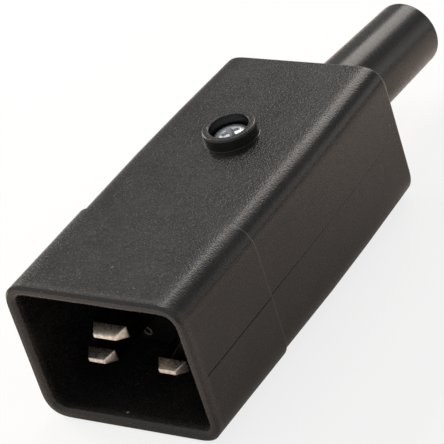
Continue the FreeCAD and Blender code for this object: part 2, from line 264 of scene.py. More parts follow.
class PlugPinSizes(bpy.types.PropertyGroup):
    """Finish of the pins and the insert."""

    edge_round: length("Width of the soft edges of the blades", 0.14)
    blade_end: length("Distance behind the rim to where a blade meets its terminal", 22.2)
    mark_radius: length("Radius of the ring-shaped tool mark on the recess floor", 0.66)
    mark_width: length("Width of the mark's ridge", 0.3)
    mark_height: length("Height of the mark's ridge", 0.12)
    mark_x: length("Sideways place of the mark", -7.9)
    mark_z: length("Height of the mark", -8.8)
    floor_place: length("Distance of the recess floor behind the rim", 18.0)


class PlugScrewSizes(bpy.types.PropertyGroup):
    """Sizes of the screws."""

    pitch: length("Distance between two turns of a thread", 0.5)
    thread_depth: length("How far a thread stands above its core", 0.24)
    head_edge: length("Radius of a head's upper edge", 0.25)
    crown: length("Rise of the housing screw's head", 0.5)
    head_height: length("Height of the housing screw's head", 2.0)
    cross_span: length("Span of the cross recess", 3.1)
    cross_width: length("Width of the cross recess's arms", 0.9)
    cross_depth: length("Depth of the cross recess", 1.2)
    cross_taper: share("How far the recess narrows to its floor", 0.5)
    cross_turn: degrees("How far the cross recess is turned", 50)
    slot_width: length("Width of a straight slot", 0.7)
    slot_depth: length("Depth of a straight slot", 0.6)
    clamp_head: length("Height of a clamp screw's head", 1.6)
    terminal_head: length("Height of a terminal screw's head", 1.2)
    clamp_shank: length("Radius of a clamp screw's thread", 1.45)
    terminal_shank: length("Radius of a terminal screw's thread", 1.4)
    housing_shank: length("Radius of the housing screw's thread", 1.5)
    sides: IntProperty(description="Facets round a turned piece", default=64, min=16)


class PlugFinishes(bpy.types.PropertyGroup):
    """Colours and surface detail."""

    shell_dark: colour("Darker tone of the textured shell", 0.0065, 0.0062, 0.0062)
    shell_light: colour("Lighter tone of the textured shell", 0.0210, 0.0196, 0.0188)
    shell_roughness: share("Gloss of the textured shell", 0.27)
    # Painted shade: the tones of the faces inside the recess, the hollow and the collar's bore, far darker
    # than the shell
    inner_shade_dark: colour("Darker tone of the smooth moulded faces", 0.0008, 0.0008, 0.0008)
    inner_shade_light: colour("Lighter tone of the smooth moulded faces", 0.0019, 0.0017, 0.0017)
    insert_dark: colour("Darker tone of the insert", 0.0090, 0.0086, 0.0084)
    insert_light: colour("Lighter tone of the insert", 0.0200, 0.0190, 0.0180)
    smooth_roughness: share("Gloss of the smooth moulded faces", 0.40)
    sleeve_dark: colour("Darker tone of the soft sleeve", 0.0080, 0.0078, 0.0080)
    sleeve_light: colour("Lighter tone of the soft sleeve", 0.0140, 0.0135, 0.0135)
    sleeve_roughness: share("Gloss of the soft sleeve", 0.29)
    # Painted shade: the nickel tones are dulled for the blades; the tips are painted brighter from them
    nickel_shaded_light: colour("Lighter tone of the nickel plating", 0.558, 0.522, 0.474)
    nickel_shaded_dark: colour("Darker tone of the nickel plating", 0.240, 0.186, 0.138)
    zinc_light: colour("Lighter tone of the zinc plating", 0.88, 0.93, 0.98)
    zinc_dark: colour("Darker tone of the zinc plating", 0.62, 0.65, 0.69)
    # Painted highlight: the pale tone of the lines along the step and behind the rim; it is also the tool
    # mark's darker tone
    worn: colour("Colour of the burnished lines along the step and the rim", 0.11, 0.10, 0.09)
    dust: colour("Colour of dust specks", 0.45, 0.42, 0.40)
    grain_size: length("Width of one grain of the moulded texture", 0.24)
    grain_depth: length("Depth of the moulded texture", 0.05)
    steep_grain: share("Share of that depth on faces along the mould's opening direction", 0.45)


class PlugStageSettings(bpy.types.PropertyGroup):
    """Camera, floor and lights."""

    azimuth: degrees("Turn of the view, from straight ahead", 41.4936)
    elevation: degrees("Height of the view", 31.8286)
    roll: degrees("How far the view's up direction leans to the right", 18.2407)
    distance: length("Distance from the camera to its aim", 418.740)
    aim: FloatVectorProperty(
        description="Point that the camera looks at",
        default=(-5.119 * MM, 39.054 * MM, -2.918 * MM),
        subtype="TRANSLATION",
    )
    lens: number("Focal length on a 36 mm sensor, in millimetres", 216.209)
    lamp_colour: colour("Colour of the softboxes", 1.0, 0.93, 0.87)
    floor_colour: colour("Colour of the floor", 0.95, 0.95, 0.95)
    # Painted pool of light in reflections: the floor's colour is warm near the plug and dark far away
    floor_near: colour("Colour of the floor near the plug in reflections", 0.97, 0.86, 0.78)
    floor_far: colour("Colour of the floor far from the plug in reflections", 0.22, 0.20, 0.18)
    near_reach: length("Where the floor starts to fade in reflections", 120.0)
    far_reach: length("Where the floor has faded in reflections", 320.0)
    floor_size: length("Width of the floor", 8000.0)
    shadow_share: share("How much of its shadow the white floor shows", 0.2)
    gloss_share: share("How much of the plain white the floor shows in reflections", 0.15)
    fill_level: number("Strength of the even light from all round", 0.35)
    room_level: number("Brightness of the room in reflections", 0.33)
    front_level: number("Brightness of the ceiling in front of the plug", 0.65)
    wall_level: number("Brightness of the room's walls near the horizon", 0.8)


# Mesh helpers


def skin_rings(bm, rings, closed):
    """Joins rings of points, one after the other, and returns the rows of points and of faces."""
    rows = [[bm.verts.new(point) for point in ring] for ring in rings]
    pairs = list(zip(rows, rows[1:]))
    if closed:
        pairs.append((rows[-1], rows[0]))
    faces = []
    for near, far in pairs:
        columns = [(i, (i + 1) % len(near)) for i in range(len(near))]
        faces.append([bm.faces.new((near[i], near[j], far[j], far[i])) for i, j in columns])
    return rows, faces


def finish_faces(rows, index):
    """Gives every face in some rows one of the piece's materials."""
    for row in rows:
        for face in row:
            face.material_index = index


def arc_steps(count):
    """Angles from 0 to a right angle."""
    return [math.pi / 2 * i / count for i in range(count + 1)]


def soft_steps(count):
    """Steps of a quarter round of radius 1: how far each is from where it starts and from where it ends."""
    return [(1 - math.cos(angle), 1 - math.sin(angle)) for angle in arc_steps(count)]


def spokes(count):
    """Directions once round, as cosine and sine."""
    turns = [2 * math.pi * i / count for i in range(count)]
    return [(math.cos(turn), math.sin(turn)) for turn in turns]


def tidy_normals(bm):
    """Welds a mesh and turns its faces outwards."""
    bmesh.ops.remove_doubles(bm, verts=bm.verts, dist=WELD_GAP)
    bmesh.ops.recalc_face_normals(bm, faces=bm.faces)


def mesh_from(bm, name):
    """Smooth mesh whose sharp edges stay crisp."""
    mesh = bpy.data.meshes.new(name)
    bm.to_mesh(mesh)
    bm.free()
    mesh.polygons.foreach_set("use_smooth", [True] * len(mesh.polygons))
    mesh.set_sharp_from_angle(angle=SHARP_ANGLE)
    return mesh


def mark_faces(mesh, chosen):
    """Marks faces from 0 to 1, for the plating to paint light into its colour there: highlights on the pins'
    tips, shade in the screws' recesses.
    """
    marks = mesh.attributes.new(FACE_MARK, "FLOAT", "FACE")
    marks.data.foreach_set("value", [float(chosen(face)) for face in mesh.polygons])


def add_object(name, data):
    """New object at the origin, in the scene."""
    item = bpy.data.objects.new(name, data)
    bpy.context.scene.collection.objects.link(item)
    return item


def set_materials(mesh, labels):
    mesh.materials.clear()
    for label in labels:
        mesh.materials.append(bpy.data.materials[label])


def show_piece(name, mesh, labels, node=None):
    """Puts a finished mesh in the scene as a piece of the plug."""
    if not mesh.polygons:
        raise RuntimeError(name + " has no faces")
    set_materials(mesh, labels)
    piece = add_object(name, mesh)
    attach(piece, "root")
    if node:
        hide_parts(node)


def turned_rings(profile, centre, sides):
    """Rings round an upright axis, from (radius, height) pairs."""
    around = spokes(sides)
    return [
        [(centre.x + radius * x, centre.y + radius * y, height) for x, y in around]
        for radius, height in profile
    ]


def closed_tube(rings):
    """Closed skin through rings and from the last back to the first."""
    bm = bmesh.new()
    skin_rings(bm, rings, closed=True)
    tidy_normals(bm)
    return bm


def capped_solid(rings):
    """Closed solid through rings, with a face on the first and on the last."""
    bm = bmesh.new()
    rows, _ = skin_rings(bm, rings, closed=False)
    bm.faces.new(rows[0])
    bm.faces.new(rows[-1])
    tidy_normals(bm)
    return bm


def tapered_block(corners_top, top, corners_bottom, bottom):
    """Closed block between two quadrilaterals at two heights."""
    return capped_solid([[(x, y, top) for x, y in corners_top], [(x, y, bottom) for x, y in corners_bottom]])


def rectangle(centre, along, half_length, half_width):
    """Corners of a rectangle seen from above, with its length along a direction."""
    aside = Vector((-along.y, along.x))
    signs = ((-1, -1), (1, -1), (1, 1), (-1, 1))
    return [centre.xy + along * (half_length * x) + aside * (half_width * y) for x, y in signs]


def box_middle(node):
    """Upright axis through the middle of a node's box."""
    low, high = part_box(node)
    return Vector(((low.x + high.x) / 2, (low.y + high.y) / 2, 0.0))


def plain_mesh(piece):
    """The piece as its modifiers leave it, as a mesh of its own."""
    graph = bpy.context.evaluated_depsgraph_get()
    return bpy.data.meshes.new_from_object(piece.evaluated_get(graph), depsgraph=graph)


def cut_away(body, cutters):
    """Takes cutters out of a body."""
    base = add_object("cut_body", mesh_from(body, "cut_body"))
    tools = [add_object("cutter", mesh_from(cutter, "cutter")) for cutter in cutters]
    for tool in tools:
        step = base.modifiers.new("cut", "BOOLEAN")
        step.operation = "DIFFERENCE"
        step.solver = "EXACT"
        step.object = tool
    bpy.context.view_layer.update()
    result = plain_mesh(base)
    for spare in [base] + tools:
        bpy.data.objects.remove(spare)
    return result


def softened_copy(node, width, wanted):
    """Copy of a CAD node with soft edges where an edge's middle passes a test."""
    bm = bmesh.new()
    bm.from_mesh(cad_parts[node].data)
    bmesh.ops.remove_doubles(bm, verts=bm.verts, dist=CAD_WELD_GAP)
    bmesh.ops.dissolve_limit(
        bm, angle_limit=FLAT_ANGLE, use_dissolve_boundaries=False, verts=bm.verts, edges=bm.edges
    )
    crisp = []
    for edge in bm.edges:
        middle = (edge.verts[0].co + edge.verts[1].co) / 2
        if len(edge.link_faces) == 2 and edge.calc_face_angle() > CRISP_ANGLE and wanted(middle):
            crisp.append(edge)
    bmesh.ops.bevel(bm, geom=crisp, offset=width, segments=3, profile=0.5, affect="EDGES", clamp_overlap=True)
    return bm


# Materials


def new_group(name, inputs, outputs):
    """Empty shader node group with numbers and vectors in and numbers out; returns its tree and sockets."""
    tree = bpy.data.node_groups.new(name, "ShaderNodeTree")
    for label, value in inputs.items():
        kind = "NodeSocketFloat" if isinstance(value, float) else "NodeSocketVector"
        socket = tree.interface.new_socket(name=label, in_out="INPUT", socket_type=kind)
        if value is not None:
            socket.default_value = value
    for label in outputs:
        tree.interface.new_socket(name=label, in_out="OUTPUT", socket_type="NodeSocketFloat")
    return tree, tree.nodes.new("NodeGroupInput").outputs, tree.nodes.new("NodeGroupOutput").inputs


def put(tree, kind, inputs=None, **settings):
    """Adds a node; inputs are values or sockets to link from."""
    node = tree.nodes.new(kind)
    for label, value in settings.items():
        setattr(node, label, value)
    for label, value in (inputs or {}).items():
        if isinstance(value, bpy.types.NodeSocket):
            tree.links.new(value, node.inputs[label])
        else:
            node.inputs[label].default_value = value
    return node


def maths(tree, operation, first, second=0.0):
    """Result of one sum on values or sockets."""
    return put(tree, "ShaderNodeMath", {0: first, 1: second}, operation=operation).outputs[0]


def noise(tree, vector, scale, detail, roughness=0.5):
    inputs = {"Vector": vector, "Scale": scale, "Detail": detail, "Roughness": roughness}
    return put(tree, "ShaderNodeTexNoise", inputs).outputs["Fac"]


def blend_colours(tree, factor, first, second):
    """Mix of two colours, each a value or a socket."""
    inputs = {"Factor": factor, MIX_FIRST: first, MIX_SECOND: second}
    return put(tree, "ShaderNodeMix", inputs, data_type="RGBA").outputs[MIX_RESULT]


def ramp(tree, value, low, high, out_low=0.0, out_high=1.0):
    """Value moved from one range to another, kept inside it."""
    inputs = {"Value": value, "From Min": low, "From Max": high, "To Min": out_low, "To Max": out_high}
    return put(tree, "ShaderNodeMapRange", inputs).outputs["Result"]


def moulding_grain_group():
    """Fine spark-eroded grain: a height for the bump, and a tone that mixes the grain with slow clouds."""
    tree, start, end = new_group("moulding_grain", {"Vector": None, "Scale": 4000.0}, ("Height", "Tone"))
    grain = noise(tree, start["Vector"], start["Scale"], 0.0)
    cloud = noise(tree, start["Vector"], maths(tree, "MULTIPLY", start["Scale"], CLOUD_SCALE), 3.0)
    fine = maths(tree, "MULTIPLY", ramp(tree, grain, *GRAIN_BAND), GRAIN_SHARE)
    slow = maths(tree, "MULTIPLY", ramp(tree, cloud, *CLOUD_BAND), 1.0 - GRAIN_SHARE)
    tree.links.new(grain, end["Height"])
    tree.links.new(maths(tree, "ADD", fine, slow), end["Tone"])


def dust_group():
    """Sparse pale specks of uneven strength."""
    inputs = {"Vector": None, "Scale": 600.0, "Amount": 0.1, "Size": 0.12}
    tree, start, end = new_group("dust_specks", inputs, ("Mask",))
    cells = put(tree, "ShaderNodeTexVoronoi", {"Vector": start["Vector"], "Scale": start["Scale"]}).outputs
    near = maths(tree, "LESS_THAN", cells["Distance"], start["Size"])
    parts = put(tree, "ShaderNodeSeparateColor", {"Color": cells["Color"]}).outputs
    chosen = maths(tree, "LESS_THAN", parts["Red"], start["Amount"])
    strength = maths(tree, "MULTIPLY", parts["Green"], maths(tree, "MULTIPLY", near, chosen))
    tree.links.new(strength, end["Mask"])


def edge_sheen_group():
    """Painted highlight line round the shell at one place along it, from a distance to each side outwards."""
    inputs = {"Vector": None, "Place": 20.0 * MM, "Width": 0.2 * MM, "Side": 13.0 * MM}
    tree, start, end = new_group("edge_sheen", inputs, ("Mask",))
    parts = put(tree, "ShaderNodeSeparateXYZ", {0: start["Vector"]}).outputs
    away = maths(tree, "ABSOLUTE", maths(tree, "SUBTRACT", parts["Y"], start["Place"]))
    line = ramp(tree, away, 0.0, start["Width"], 1.0, 0.0)
    beside = maths(tree, "ABSOLUTE", parts["X"])
    side = ramp(tree, beside, start["Side"], maths(tree, "ADD", start["Side"], MM))
    tree.links.new(maths(tree, "MULTIPLY", line, side), end["Mask"])


def plating_group():
    """Mottled plating: a tone, and fine marks along the piece."""
    inputs = {"Vector": None, "Scale": 2500.0, "Stretch": (1.0, 0.08, 1.0)}
    tree, start, end = new_group("plating_mottle", inputs, ("Tone", "Height"))
    blotch = noise(tree, start["Vector"], start["Scale"], 4.0, roughness=0.65)
    stretched = {0: start["Vector"], 1: start["Stretch"]}
    drawn = put(tree, "ShaderNodeVectorMath", stretched, operation="MULTIPLY").outputs["Vector"]
    marks = noise(tree, drawn, maths(tree, "MULTIPLY", start["Scale"], MARK_FINENESS), 2.0)
    tree.links.new(ramp(tree, blotch, *BLOTCH_BAND), end["Tone"])
    tree.links.new(marks, end["Height"])


def rgba(values):
    return (values[0], values[1], values[2], 1.0)


def new_material(name):
    """New material; returns its node tree, its shader and its Object coordinates."""
    material = bpy.data.materials.new(name)
    material.use_nodes = True
    tree = material.node_tree
    return tree, tree.nodes["Principled BSDF"], put(tree, "ShaderNodeTexCoord").outputs["Object"]


def place_group(tree, group, inputs):
    """Places a shared node group in a material and returns its outputs."""
    return put(tree, "ShaderNodeGroup", inputs, node_tree=bpy.data.node_groups[group]).outputs


def link_bump(tree, shader, height, distance, strength):
    bump = put(tree, "ShaderNodeBump", {"Height": height, "Distance": distance, "Strength": strength})
    tree.links.new(bump.outputs["Normal"], shader.inputs["Normal"])


def plastic(name, tones, roughness, specular, grain_size, grain_depth, dust_amount):
    """Moulded plastic: grain, a slow change of tone and a few specks of dust."""
    finishes = bpy.context.scene.plug_finishes
    tree, shader, vector = new_material(name)
    grain = place_group(tree, "moulding_grain", {"Vector": vector, "Scale": 1.0 / grain_size})
    dust = place_group(tree, "dust_specks", {"Vector": vector, "Amount": dust_amount})
    tone = blend_colours(tree, grain["Tone"], rgba(tones[0]), rgba(tones[1]))
    dusted = blend_colours(tree, dust["Mask"], tone, rgba(finishes.dust))
    tree.links.new(dusted, shader.inputs["Base Color"])
    gloss = ramp(tree, grain["Tone"], 0.0, 1.0, roughness - GLOSS_SPREAD, roughness + GLOSS_SPREAD)
    tree.links.new(gloss, shader.inputs["Roughness"])
    shader.inputs["Specular IOR Level"].default_value = specular
    steep = put(tree, "ShaderNodeAttribute", attribute_name=DRAFT_MARK).outputs["Fac"]
    strength = ramp(tree, steep, 0.0, 1.0, 1.0, finishes.steep_grain)
    link_bump(tree, shader, grain["Height"], grain_depth, strength)
    return tree, shader, vector, dusted


def textured_plastic():
    """The shell's grained plastic, with a painted highlight line along the step and a fainter one behind the
    rim.
    """
    finishes = bpy.context.scene.plug_finishes
    tree, shader, vector, tone = plastic(
        "textured_plastic",
        (finishes.shell_dark, finishes.shell_light),
        finishes.shell_roughness,
        specular=0.52,
        grain_size=finishes.grain_size,
        grain_depth=finishes.grain_depth,
        dust_amount=0.02,
    )
    # Painted highlights: a pale line on the sides along the step's edge, and a faint band behind the rim
    step_line = {"Vector": vector, "Place": bpy.context.scene.plug_shell.step_place}
    rim_line = {"Vector": vector, "Place": RIM_SHEEN_PLACE, "Width": RIM_SHEEN_WIDTH, "Side": -MM}
    for line, strength in ((step_line, 1.0), (rim_line, RIM_SHEEN_SHARE)):
        mask = maths(tree, "MULTIPLY", place_group(tree, "edge_sheen", line)["Mask"], strength)
        tone = blend_colours(tree, mask, tone, rgba(finishes.worn))
    tree.links.new(tone, shader.inputs["Base Color"])


def plating(name, tones, scale, roughness, scuff, shade, stretch):
    """Plated metal with mottling and fine marks; marked faces get painted light, a painted highlight where
    shade is above 1 and painted shade where it is below, and are less glossy.
    """
    dark, light = tones
    tree, shader, vector = new_material(name)
    mottle = place_group(tree, "plating_mottle", {"Vector": vector, "Scale": scale, "Stretch": stretch})
    plain = blend_colours(tree, mottle["Tone"], rgba(dark), rgba(light))
    # Marked faces: a painted highlight where shade is above 1, painted shade where it is below
    marked_dark = Vector(dark).lerp(Vector(light), MARKED_EVENNESS) * shade
    marked = blend_colours(tree, mottle["Tone"], rgba(marked_dark), rgba(Vector(light) * shade))
    mark = put(tree, "ShaderNodeAttribute", attribute_name=FACE_MARK).outputs["Fac"]
    tree.links.new(blend_colours(tree, mark, plain, marked), shader.inputs["Base Color"])
    gloss = ramp(tree, mottle["Tone"], 0.0, 1.0, roughness + GLOSS_SPREAD, roughness - GLOSS_SPREAD)
    scuffed = maths(tree, "ADD", gloss, maths(tree, "MULTIPLY", mark, scuff))
    tree.links.new(scuffed, shader.inputs["Roughness"])
    shader.inputs["Metallic"].default_value = 1.0
    link_bump(tree, shader, mottle["Height"], PLATING_RELIEF, PLATING_BUMP)


class PLUG_OT_materials(bpy.types.Operator):
    """Make the plug's plastics and plated metals"""

    bl_idname = "plug.build_materials"
    bl_label = "Materials"

    def execute(self, context):
        finishes = context.scene.plug_finishes
        for make_group in (moulding_grain_group, dust_group, edge_sheen_group, plating_group):
            make_group()
        textured_plastic()
        shell = (finishes.shell_dark, finishes.shell_light)
        shaded = (finishes.inner_shade_dark, finishes.inner_shade_light)
        insert = (finishes.insert_dark, finishes.insert_light)
        sleeve = (finishes.sleeve_dark, finishes.sleeve_light)
        even = finishes.smooth_roughness
        satin = finishes.sleeve_roughness
        # Name, tones, roughness, specular level, width against the shell's grain, and share of dust
        for name, tones, roughness, specular, width, dust in (
            # The first row paints shade into the recess, the hollow and the collar's bore
            ("shaded_inner_plastic", shaded, even, 0.1, 2.0, 0.0),
            ("rim_plastic", shell, satin, 0.62, 1.6, 0.01),
            ("insert_plastic", insert, even, 0.1, 2.0, 0.0),
            ("marked_plastic", (finishes.worn, finishes.dust), even, 0.5, 1.6, 0.0),
            ("soft_pvc", sleeve, satin, 0.5, 1.6, 0.01),
        ):
            grain_size = finishes.grain_size * width
            plastic(name, tones, roughness, specular, grain_size, finishes.grain_depth * SMOOTH_RELIEF, dust)
        nickel = (finishes.nickel_shaded_dark, finishes.nickel_shaded_light)
        zinc = (finishes.zinc_dark, finishes.zinc_light)
        # Name, tones, scale, roughness, scuff and shade of marked faces, and stretch of the fine marks; the
        # shade paints a highlight on the pins' tips and shade in the screws' recesses
        for settings in (
            ("nickel_plating", nickel, 2200.0, 0.11, 0.25, 1.75, (1.0, 0.08, 1.0)),
            # The zinc row paints shade into the screws' recesses
            ("zinc_plating", zinc, 3200.0, 0.46, 0.0, 0.7, (1.0, 1.0, 0.2)),
        ):
            plating(*settings)
        return {"FINISHED"}


# Shell


def outer_half_sizes(sizes, place):
    """Half width, half height and corner radius of the shell's outside at y = place."""
    half_width = shell_high.x
    half_height = -shell_low.z
    inset = sizes.step_inset * min(1.0, max(0.0, (place - sizes.step_place) / sizes.step_run))
    taper = max(0.0, (place - sizes.taper_place) / (shell_high.y - sizes.taper_place))
    return (
        half_width - inset - sizes.taper_side * taper,
        half_height - inset - sizes.taper_height * taper,
        sizes.corner - inset,
    )


def section_ring(half_width, half_height, corner, place, sizes, groove=0.0):
    """Points round the shell at y = place, from the right parting line upwards and round."""
    support = min(CORNER_SUPPORT, corner)
    patch = patch_reach(sizes)
    edge = sizes.parting_width / 2
    rise = sizes.parting_high - sizes.parting_low
    level = sizes.parting_low + rise * place / shell_high.y
    reach = corner * CORNER_REACH
    upper = half_height - reach
    across = half_width - reach
    power = 2 / CORNER_POWER
    angles = arc_steps(CORNER_STEPS)[:-1]
    steps = [(reach * math.cos(angle) ** power, reach * math.sin(angle) ** power) for angle in angles]
    steps.append((0.0, reach))

    def quarter(x_side, z_side):
        """Points between the parting line on one side and the middle of the top or the bottom."""
        points = [(half_width - groove, level + z_side * edge * SLOT_BED)]
        for away in (edge, edge * SLOT_GUARD):
            points.append((half_width, level + z_side * away))
        points.append((half_width, z_side * (upper - support)))
        points += [(across + x, z_side * (upper + z)) for x, z in steps]
        points.append((across - support, z_side * half_height))
        if z_side > 0:
            points.append((patch, half_height))
        points = [Vector((x_side * x, place, z)) for x, z in points]
        return points if x_side == z_side else points[::-1]

    return quarter(1, 1) + quarter(-1, 1) + quarter(-1, -1) + quarter(1, -1)


def patch_reach(sizes):
    """Half width of the flat patch round the collar."""
    return sizes.collar_radius + PATCH_MARGIN


def step_edge_stations(sizes):
    """Places and insets round the outer edge of the step, from the body to the shroud."""
    slope = math.atan2(sizes.step_inset, sizes.step_run)
    start = sizes.step_place - sizes.step_edge * math.tan(slope / 2)
    stations = []
    for part in (1.0, 0.75, 0.5, 0.25, 0.0):
        place = start + sizes.step_edge * math.sin(slope * part)
        drop = sizes.step_edge * (1 - math.cos(slope * part))
        sunk = sizes.step_inset * max(0.0, (place - sizes.step_place) / sizes.step_run)
        stations.append((place, drop - sunk))
    return stations


def outer_rings(sizes):
    """Rings of the outside, from the rear face to the recess's mouth."""
    rear = shell_high.y
    patch = patch_reach(sizes)
    collar = collar_centre()
    soft = sizes.rear_round
    mouth = sizes.mouth_round
    stations = [(rear - soft * run, soft * rest) for run, rest in soft_steps(EDGE_STEPS)]
    for place in (
        rear - sizes.rear_round - EDGE_SUPPORT,
        rear - sizes.parting_rear + EDGE_SUPPORT,
        rear - sizes.parting_rear - EDGE_SUPPORT,
        rear - sizes.parting_rear - FADE_SUPPORT,
        collar.y + patch,
        collar.y - patch,
        sizes.step_place + sizes.step_run + EDGE_SUPPORT,
        sizes.step_place + sizes.step_run,
    ):
        stations.append((place, 0.0))
    stations += step_edge_stations(sizes)
    for place in (
        sizes.step_place - EDGE_SUPPORT,
        sizes.parting_front + PARTING_END,
        sizes.parting_front - PARTING_END,
        sizes.rim_back + FINE_SUPPORT,
        sizes.rim_back,
    ):
        stations.append((place, 0.0))
    stations.append((0.0, sizes.rim_drop))
    stations.append((0.0, sizes.wall - mouth - RIM_SUPPORT))
    stations += [(mouth * run, sizes.wall - mouth * rest) for run, rest in soft_steps(EDGE_STEPS)]
    rings = []
    for place, inset in stations:
        half_width, half_height, corner = outer_half_sizes(sizes, place)
        parted = sizes.parting_front < place < rear - sizes.parting_rear
        fade = PARTING_FAINT + (PARTING_CLEAR - PARTING_FAINT) * (1 - place / rear) ** PARTING_FADE
        groove = sizes.parting_depth * fade if parted else 0.0
        section = (half_width - inset, half_height - inset, corner - inset)
        rings.append(section_ring(*section, place, sizes, groove))
    return rings


def inner_rings(sizes):
    """Rings of the recess and of the hollow behind it, from the mouth to the rear wall."""
    half_width, half_height, corner = outer_half_sizes(sizes, 0.0)
    recess = (half_width - sizes.wall, half_height - sizes.wall, corner - sizes.wall)
    rings = []
    for place in (sizes.mouth_round + MOUTH_SUPPORT, sizes.step_place):
        rings.append(section_ring(*recess, place, sizes))
    patch = patch_reach(sizes)
    collar = collar_centre()
    # Place of each ring, and where the outside is measured for it
    stations = [(sizes.step_place, sizes.step_place + sizes.step_run)]
    for place in (collar.y - patch, collar.y + patch, shell_high.y - sizes.rear_wall):
        stations.append((place, place))
    for place, measured in stations:
        half_width, half_height, _ = outer_half_sizes(sizes, measured)
        hollow = (half_width - sizes.body_wall, half_height - sizes.body_wall, sizes.cavity_corner)
        rings.append(section_ring(*hollow, place, sizes))
    return rings


def collar_centre():
    """Axis of the collar and its screw."""
    return box_middle("housing_screw")


def hole_ring(ring, radius, height, place):
    """Circle in the rear wall with a point for each point of a ring."""
    points = []
    for point in ring:
        angle = math.atan2(point.z - height, point.x)
        points.append(Vector((radius * math.cos(angle), place, height + radius * math.sin(angle))))
    return points


def collar_profile(sizes, ceiling, top):
    """(radius, height) pairs from the hollow's ceiling, through the screw hole and over the collar."""
    crest = shell_high.z
    outer = sizes.collar_radius
    bore = sizes.collar_bore
    soft = sizes.collar_round
    foot = sizes.collar_foot
    profile = [
        (outer, ceiling),
        (outer, sizes.pad_bottom),
        (sizes.shank_hole, sizes.pad_bottom),
        (sizes.shank_hole, sizes.head_seat),
        (bore, sizes.head_seat),
        (bore, crest - BORE_ROUND - FINE_SUPPORT),
    ]
    for run, rest in soft_steps(SMALL_EDGE_STEPS):
        profile.append((bore + BORE_ROUND * run, crest - BORE_ROUND * rest))
    for run, rest in soft_steps(EDGE_STEPS):
        profile.append((outer - soft * rest, crest - soft * run))
    profile.append((outer, top + foot + FINE_SUPPORT))
    for run, rest in soft_steps(FOOT_STEPS):
        profile.append((outer + foot * run, top + foot * rest))
    profile.append((outer + foot + FOOT_SUPPORT, top))
    return profile


def open_patch(bm, rows, reach):
    """Takes out the flat top faces of some rows round the collar and returns the edges left open."""
    centre = collar_centre()
    inside = []
    for row in rows:
        for face in row:
            middle = face.calc_center_median()
            if abs(middle.x) < reach / 2 and middle.z > 0 and abs(middle.y - centre.y) < reach:
                inside.append(face)
    edges = dict.fromkeys(edge for face in inside for edge in face.edges)
    bmesh.ops.delete(bm, geom=inside, context="FACES_ONLY")
    return [edge for edge in edges if edge.is_valid]


def ring_edges(bm, row):
    return [bm.edges.get((row[i], row[(i + 1) % len(row)])) for i in range(len(row))]


def lay_on_face(row, sizes, inset):
    """Lays one ring of the collar on the slightly bent face that it stands on."""
    for vertex in row:
        _, half_height, _ = outer_half_sizes(sizes, vertex.co.y)
        vertex.co.z = half_height - inset


# Finishes of the shell's faces, in the order of its materials; the second paints shade on the inside faces
# with far darker tones
SHELL_FINISHES = ("textured_plastic", "shaded_inner_plastic", "rim_plastic")
TEXTURED, SHADED_INSIDE, RIM = range(len(SHELL_FINISHES))


class PLUG_OT_shell(bpy.types.Operator):
    """Build the moulded shell with its rim, step, parting line and screw collar"""

    bl_idname = "plug.build_shell"
    bl_label = "Shell"

    def execute(self, context):
        sizes = context.scene.plug_shell
        bm = bmesh.new()
        outside = outer_rings(sizes)
        rear = shell_high.y
        first_hole = hole_ring(outside[0], sizes.neck_hole, sizes.neck_height, rear)
        last_hole = hole_ring(outside[0], sizes.neck_hole, sizes.neck_height, rear - sizes.rear_wall)
        rings = [first_hole] + outside + inner_rings(sizes) + [last_hole]
        _, faces = skin_rings(bm, rings, closed=True)
        outer_rows = faces[: len(outside)]
        inner_rows = faces[len(outside) :]
        finish_faces(outer_rows[-RIM_ROWS:], RIM)
        # The recess and the hollow take the darker tones of painted shade
        finish_faces(inner_rows, SHADED_INSIDE)
        _, half_height, _ = outer_half_sizes(sizes, collar_centre().y)
        profile = collar_profile(sizes, half_height - sizes.body_wall, half_height)
        rings = turned_rings(profile, collar_centre(), COLLAR_SIDES)
        collar_rows, collar_faces = skin_rings(bm, rings, closed=False)
        # The collar's bore takes the same painted shade
        finish_faces(collar_faces[:COLLAR_BORE_ROWS], SHADED_INSIDE)
        finish_faces(collar_faces[COLLAR_BORE_ROWS:-COLLAR_FOOT_ROWS], RIM)
        lay_on_face(collar_rows[0], sizes, sizes.body_wall)
        for row in collar_rows[-2:]:
            lay_on_face(row, sizes, 0.0)
        ends = ((outer_rows, collar_rows[-1], TEXTURED), (inner_rows, collar_rows[0], SHADED_INSIDE))
        for rows, end, finish in ends:
            edges = open_patch(bm, rows, patch_reach(sizes)) + ring_edges(bm, end)
            filled = bmesh.ops.triangle_fill(bm, use_beauty=True, edges=edges, normal=UP)["geom"]
            finish_faces([[item for item in filled if isinstance(item, bmesh.types.BMFace)]], finish)
        tidy_normals(bm)
        loose = [edge for edge in bm.edges if len(edge.link_faces) != 2]
        if loose:
            raise RuntimeError("the shell has %d open edges" % len(loose))
        mesh = mesh_from(bm, "moulded_shell")
        steep = mesh.attributes.new(DRAFT_MARK, "FLOAT", "POINT")
        steep.data.foreach_set("value", [1 - abs(vertex.normal.z) ** DRAFT_POWER for vertex in mesh.vertices])
        show_piece("moulded_shell", mesh, SHELL_FINISHES, "outer_shell")
        return {"FINISHED"}


# Bend sleeve


